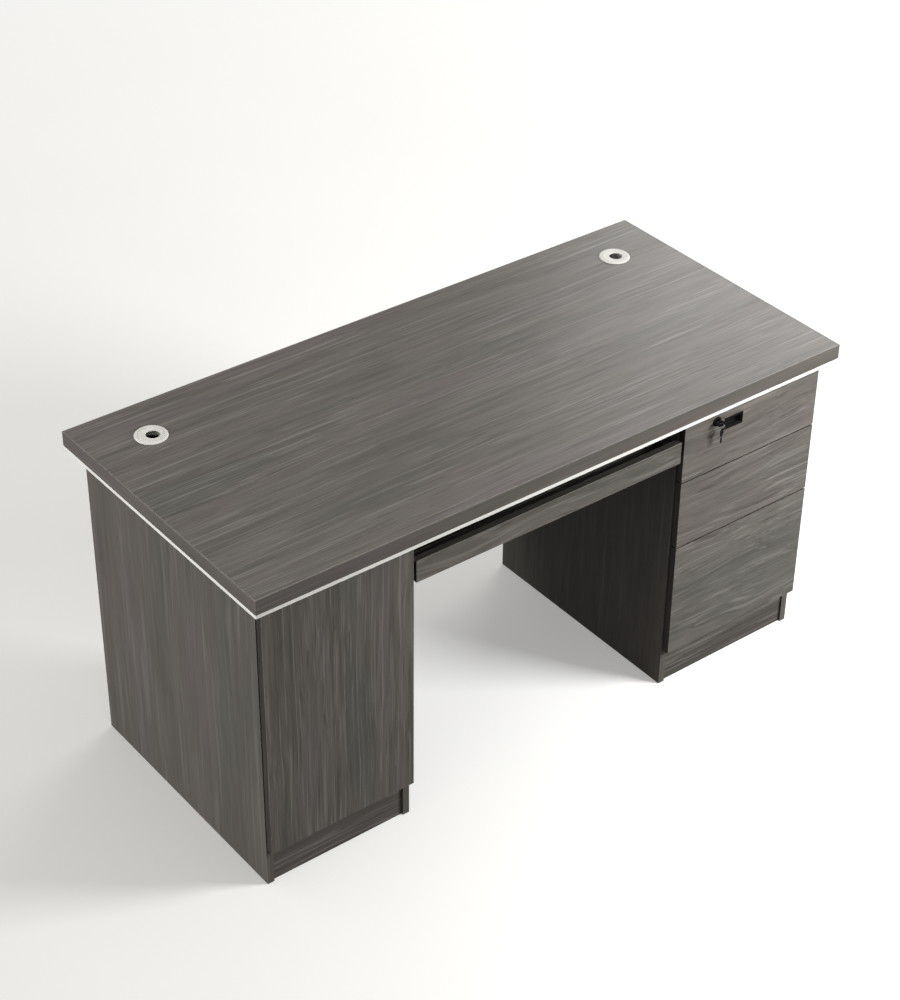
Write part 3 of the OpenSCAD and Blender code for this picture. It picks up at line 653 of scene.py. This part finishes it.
def bow_mesh(bm, outline, hole, hole_centre, half_t, steps=48):
    """A key's bow: a plate with rounded edges, a sunk field and a collar round its hole.
    outline(turn, inset) is the distance of its edge from the middle. Points are (across, up, through)."""
    field = half_t - FIELD_SINK
    edges = [(0.5 * MM, half_t), (1.5 * MM, half_t), (1.8 * MM, field)]
    collars = [(1.2 * MM, field), (1.0 * MM, half_t), (0.3 * MM, half_t)]
    turns = [2 * math.pi * i / steps for i in range(steps)]

    def edge(inset, through):
        reach = [(outline(t, inset), t) for t in turns]
        return [Vector((r * math.cos(t), r * math.sin(t), through)) for r, t in reach]

    def collar(width, through):
        offset = Vector((hole_centre[0], hole_centre[1], through))
        r = hole + width
        return [offset + Vector((r * math.cos(t), r * math.sin(t), 0)) for t in turns]

    round_off = half_t - BOW_ROUND
    rings = [edge(0, -round_off), edge(0, round_off)]
    rings += [edge(inset, through) for inset, through in edges]
    rings += [collar(width, through) for width, through in collars]
    rings += [collar(0, round_off), collar(0, -round_off)]
    rings += [collar(width, -through) for width, through in reversed(collars)]
    rings += [edge(inset, -through) for inset, through in reversed(edges)]
    loft(bm, rings, closed_ring=True)


def blade_mesh(bm, outline, half_t):
    """A key's blade: a flat outline with bevelled faces. Points are (across, up, through)."""
    middle = sum((Vector(point) for point in outline), Vector((0, 0))) / len(outline)
    rings = []
    shares = ((BLADE_BEVEL, -1), (1.0, -0.5), (1.0, 0.5), (BLADE_BEVEL, 1))
    for share, through in [(share, side * half_t) for share, side in shares]:
        ring = [middle.lerp(Vector(point), share) for point in outline]
        rings.append([Vector((x, up, through)) for x, up in ring])
    loft(bm, rings)


def bitted(half_w, start, tip, cuts):
    """Outline of a cut key blade that runs from up = start down to up = tip."""
    points = [(half_w, start), (half_w, tip + half_w)]
    points += [(0.3 * half_w, tip), (-0.3 * half_w, tip), (-half_w, tip + half_w)]
    step = (start - tip - 1.6 * half_w) / len(cuts)
    for i, cut in enumerate(cuts):
        low = tip + 1.1 * half_w + i * step
        points += [(-half_w, low), (-half_w + cut, low + 0.35 * step), (-half_w + cut, low + 0.65 * step)]
    return points + [(-half_w, start)]


def place_mesh(bm, origin, matrix):
    """Turns a mesh and moves its origin to a point."""
    bmesh.ops.transform(bm, matrix=Matrix.Translation(origin) @ matrix.to_4x4(), verts=bm.verts)


def main_key(lock):
    """The key in the lock: a flat bow that lies level, with the blade going into the plug."""
    low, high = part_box("key")
    radius = (high.x - low.x) / 2
    centre = Vector((lock.x, low.y + BOW_BACK, lock.z))
    near, far = lock.y - BOW_GAP - centre.y, centre.y - low.y

    def outline(turn, inset):
        limit = near if math.sin(turn) > 0 else far
        return min(radius - inset, (limit - inset) / max(abs(math.sin(turn)), 0.01))

    bow = bmesh.new()
    bow_mesh(bow, outline, KEY_HOLE, (0, 0), (high.z - low.z) / 2)
    place_mesh(bow, centre, Matrix.Identity(3))
    bow = piece("key_bow", bow, BLACK, "lock_and_key")
    smooth(bow, 40)
    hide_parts("key")
    blade = bmesh.new()
    half_w, tip = BLADE_HALF_W, high.y - lock.y
    right = [(half_w, BLADE_START), (half_w, tip - half_w), (0.3 * half_w, tip)]
    left = [(-across, up) for across, up in reversed(right)]
    blade_mesh(blade, right + left, BLADE_HALF_T)
    place_mesh(blade, lock, Matrix.Identity(3))
    smooth(piece("key_blade", blade, NICKEL, "lock_and_key"), 25)


def split_ring():
    """A ring of two turns of flattened wire, side by side."""
    low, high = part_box("key_ring")
    centre = (low + high) / 2
    radius = (high.y - low.y) / 2 - (high.x - low.x) / 2
    angles = [2 * math.pi * k / WIRE_STEPS for k in range(WIRE_STEPS)]
    section = [(math.cos(a) * WIRE_HALF_W, math.sin(a) * WIRE_HALF_H) for a in angles]
    rings = []
    for i in range(RING_STEPS + 1):
        turn = 2 * math.pi * RING_TURNS * i / RING_STEPS + RING_START
        out = Vector((0, math.cos(turn), math.sin(turn)))
        shift = Vector(((i / RING_STEPS - 0.5) * RING_SPREAD, 0, 0))
        rings.append([centre + shift + out * (radius + up) + Vector((side, 0, 0)) for side, up in section])
    bm = bmesh.new()
    loft(bm, rings)
    ring = piece("split_ring", bm, NICKEL, "spare_keys")
    smooth(ring, 50)
    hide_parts("key_ring")


def spare_key(lock):
    """The spare key, hanging from the ring and turned about the vertical."""
    low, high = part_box("spare_key")
    ring_low, ring_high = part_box("key_ring")
    origin = Vector((lock.x, (ring_low.y + ring_high.y) / 2, lock.z))
    centre = high.z - lock.z - SPARE_RADIUS
    upright = Matrix.Rotation(SPARE_TURN, 3, "Z") @ Matrix(((1, 0, 0), (0, 0, -1), (0, 1, 0)))
    bow = bmesh.new()
    bow_mesh(bow, lambda turn, inset: SPARE_RADIUS - inset, SPARE_HOLE, (0, SPARE_HOLE_UP), SPARE_HALF_T)
    bmesh.ops.translate(bow, verts=bow.verts, vec=(0, centre, 0))
    place_mesh(bow, origin, upright)
    bow = piece("spare_key_bow", bow, BLACK, "spare_keys")
    smooth(bow, 40)
    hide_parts("spare_key")
    blade = bmesh.new()
    start = centre - SPARE_RADIUS + SPARE_LAP
    blade_mesh(blade, bitted(BLADE_HALF_W, start, low.z - lock.z, SPARE_CUTS), BLADE_HALF_T)
    place_mesh(blade, origin, upright)
    smooth(piece("spare_key_blade", blade, DARK_STEEL, "spare_keys"), 25)


def keys():
    """The key in the lock and, on the ring, the spare key."""
    low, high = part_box("lock_body")
    lock = Vector(((low.x + high.x) / 2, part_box("drawer_1_front")[0].y, (low.z + high.z) / 2))
    main_key(lock)
    split_ring()
    spare_key(lock)


keys()


# ---------------------------------------------------------------- studio

# The floor fades between these two distances from the desk's middle
FADE = (1.6, 7.0)
# Brightness of the ground that the camera sees, under the desk and far from it
NEAR_GLOW = 0.27
GROUND = 0.98
GROUND_TINT = rgba(1.0, 0.997, 0.988)
# Strength and colour of the sky's light on the desk
HORIZON = 0.12
ZENITH = 0.62
SKY_TINT = rgba(1.0, 0.975, 0.92)
FLOOR_SIZE = 40
FLOOR_GAP = 0.2 * MM


def add_floor():
    """A wide pale, faintly uneven floor that fades into the ground colour far from the desk."""
    g = Graph("studio_floor")
    cloud = g.noise(g.vector("MULTIPLY", g.coordinates(), (1.5, 1.5, 1.5)), 3.0)
    pale = g.mix(g.fit(cloud, 0.3, 0.7), rgba(0.86, 0.86, 0.85), rgba(0.88, 0.88, 0.87))
    distance = g.add("VectorMath", {0: g.coordinates()}, operation="LENGTH").outputs["Value"]
    pale = g.mix(g.fit(distance, *FADE), pale, rgba(0, 0, 0))
    seen = g.add("LightPath").outputs["Is Camera Ray"]
    g.surface(Base_Color=g.mix(seen, rgba(0.22, 0.22, 0.22), pale))
    g.surface(Roughness=0.9, Specular_IOR_Level=0.1)
    glow = g.fit(distance, *FADE, NEAR_GLOW, GROUND)
    g.surface(Emission_Color=GROUND_TINT, Emission_Strength=g.math("MULTIPLY", seen, glow))
    bm = bmesh.new()
    bmesh.ops.create_grid(bm, x_segments=8, y_segments=8, size=FLOOR_SIZE)
    mesh = bpy.data.meshes.new("studio_floor")
    bm.to_mesh(mesh)
    bm.free()
    mesh.materials.append(g.material)
    floor = bpy.data.objects.new("studio_floor", mesh)
    floor.location.z = CAD_BOX[0].z - FLOOR_GAP
    floor.visible_glossy = False
    bpy.context.scene.collection.objects.link(floor)
    return floor


def add_area(name, place, target, size, power):
    """A white soft light of a size and power that looks at a target."""
    data = bpy.data.lights.new(name, "AREA")
    data.shape = "RECTANGLE"
    data.size, data.size_y = size
    data.energy = power
    light = bpy.data.objects.new(name, data)
    light.location = place
    light.rotation_euler = (Vector(target) - Vector(place)).to_track_quat("-Z", "Y").to_euler()
    bpy.context.scene.collection.objects.link(light)
    return light


def keep_off(light, obj):
    """Stops a light from reaching one object."""
    group = bpy.data.collections.new(light.name + "_excludes")
    group.objects.link(obj)
    group.collection_objects[0].light_linking.link_state = "EXCLUDE"
    light.light_linking.receiver_collection = group


def keep_on(light, objects):
    """Lets a light reach these objects only."""
    group = bpy.data.collections.new(light.name + "_includes")
    for obj in objects:
        group.objects.link(obj)
    light.light_linking.receiver_collection = group


def hardware():
    """All metal pieces."""
    finishes = (NICKEL, DARK_STEEL, ZINC)
    return [obj for obj in bpy.data.objects if obj.type == "MESH" and obj.active_material in finishes]


def add_world():
    """Soft light that is strongest overhead. The camera sees an even pale ground instead."""
    world = bpy.data.worlds.new("studio")
    world.use_nodes = True
    tree = world.node_tree
    background = tree.nodes["Background"]
    place = tree.nodes.new("ShaderNodeTexCoord")
    split = tree.nodes.new("ShaderNodeSeparateXYZ")
    height = tree.nodes.new("ShaderNodeMapRange")
    seen = tree.nodes.new("ShaderNodeLightPath")
    pick = tree.nodes.new("ShaderNodeMix")
    tree.links.new(place.outputs["Generated"], split.inputs[0])
    tree.links.new(split.outputs[Z], height.inputs["Value"])
    for key, value in (("From Min", 0.0), ("From Max", 1.0), ("To Min", HORIZON), ("To Max", ZENITH)):
        height.inputs[key].default_value = value
    tree.links.new(seen.outputs["Is Camera Ray"], pick.inputs[0])
    tree.links.new(height.outputs[0], pick.inputs[2])
    pick.inputs[3].default_value = GROUND
    tint = tree.nodes.new("ShaderNodeMix")
    tint.data_type = "RGBA"
    tree.links.new(seen.outputs["Is Camera Ray"], tint.inputs[0])
    tint.inputs[6].default_value = SKY_TINT
    tint.inputs[7].default_value = GROUND_TINT
    tree.links.new(tint.outputs[2], background.inputs["Color"])
    tree.links.new(pick.outputs[0], background.inputs["Strength"])
    bpy.context.scene.world = world


# Place, target, size and power of each light
KEY = ((1.7, -1.8, 1.45), (0.45, -0.2, 0.45), (0.9, 0.9), 84)
REAR_SOFTBOX = ((4.4, 2.4, 2.7), (0.4, 0, 0.7), (3.0, 2.0), 73)
LEFT_FILL = ((-4.0, 0.3, 1.9), (-0.7, 0, 0.4), (2.0, 2.0), 125)
SPARKLE = ((1.2, -1.9, 1.9), (0.45, -0.3, 0.6), (0.7, 0.7), 90)


def add_studio():
    """The floor, the sky and four lights: the fill stays off the floor, the sparkle on the metal."""
    floor = add_floor()
    add_world()
    bpy.context.scene.view_settings.view_transform = "Standard"
    key = add_area("key", *KEY)
    add_area("rear_softbox", *REAR_SOFTBOX)
    left_fill = add_area("left_fill", *LEFT_FILL)
    keep_off(left_fill, floor)
    sparkle = add_area("sparkle", *SPARKLE)
    keep_on(sparkle, hardware())
    # Neither shows as a white glare on the worktop from behind or from the right
    key.visible_glossy = False
    left_fill.visible_glossy = False


add_studio()
